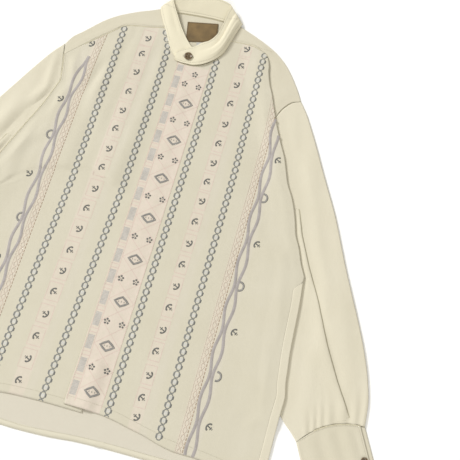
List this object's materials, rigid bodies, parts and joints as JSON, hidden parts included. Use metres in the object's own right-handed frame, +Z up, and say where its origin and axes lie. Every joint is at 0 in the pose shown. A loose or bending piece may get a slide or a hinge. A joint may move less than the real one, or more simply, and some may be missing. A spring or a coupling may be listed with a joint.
{
  "type": "embroidered band-collar long-sleeve shirt",
  "caption": "Cream long-sleeve shirt with a stand-up band collar, laid flat front up, with vertical bands of embroidered ornament.",
  "frame": {"origin": "middle of the laid shirt's outline, on the surface it lies on", "axes": "+X to the wearer's left across the sleeves, +Y from the hem to the collar, +Z up out of the front of the shirt"},
  "size_m": [0.9204, 0.7831, 0.0216],
  "materials": {
    "cream_cloth": "soft matt weave",
    "brown_button": "satin, four holes",
    "label_cloth": "plain woven tape",
    "tab_cloth": "plain woven tape"
  },
  "bodies": {
    "root": {"back": "cream_cloth", "yoke": "cream_cloth", "front_left": "cream_cloth", "front_right": "cream_cloth", "sleeve_left": "cream_cloth", "sleeve_right": "cream_cloth", "cuff_left": "cream_cloth", "cuff_right": "cream_cloth", "collar_band": "cream_cloth", "collar_button": "brown_button", "cuff_button_left": "brown_button", "cuff_button_right": "brown_button", "neck_label": "label_cloth", "size_tab": "tab_cloth"}
  },
  "joints": []
}
